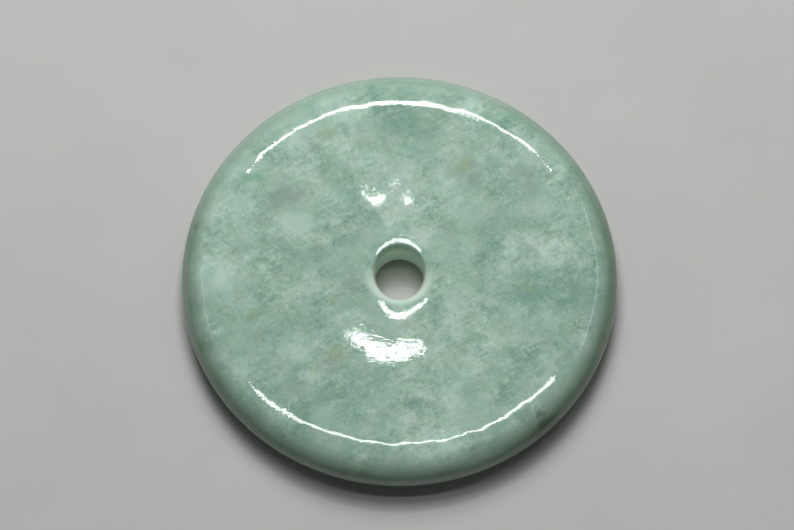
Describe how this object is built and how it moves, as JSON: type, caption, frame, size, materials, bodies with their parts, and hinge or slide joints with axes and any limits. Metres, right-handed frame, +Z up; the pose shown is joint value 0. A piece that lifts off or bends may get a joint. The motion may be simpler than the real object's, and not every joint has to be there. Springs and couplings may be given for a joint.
{
  "type": "jade disc pendant",
  "caption": "Flat round polished jade disc with a small central hole to hang it by and a softly rounded rim, lying on its back.",
  "frame": {"origin": "middle of the underside, on the surface that the disc lies on", "axes": "+Z up along the hole's axis, X and Y across the disc, all directions across it alike"},
  "size_m": [0.055, 0.055, 0.0057],
  "materials": {
    "jade": "polished, slightly translucent, mottled pale bluish green with whiter clouds and small olive and grey flecks"
  },
  "bodies": {
    "root": {"jade_disc": "jade"}
  },
  "joints": []
}
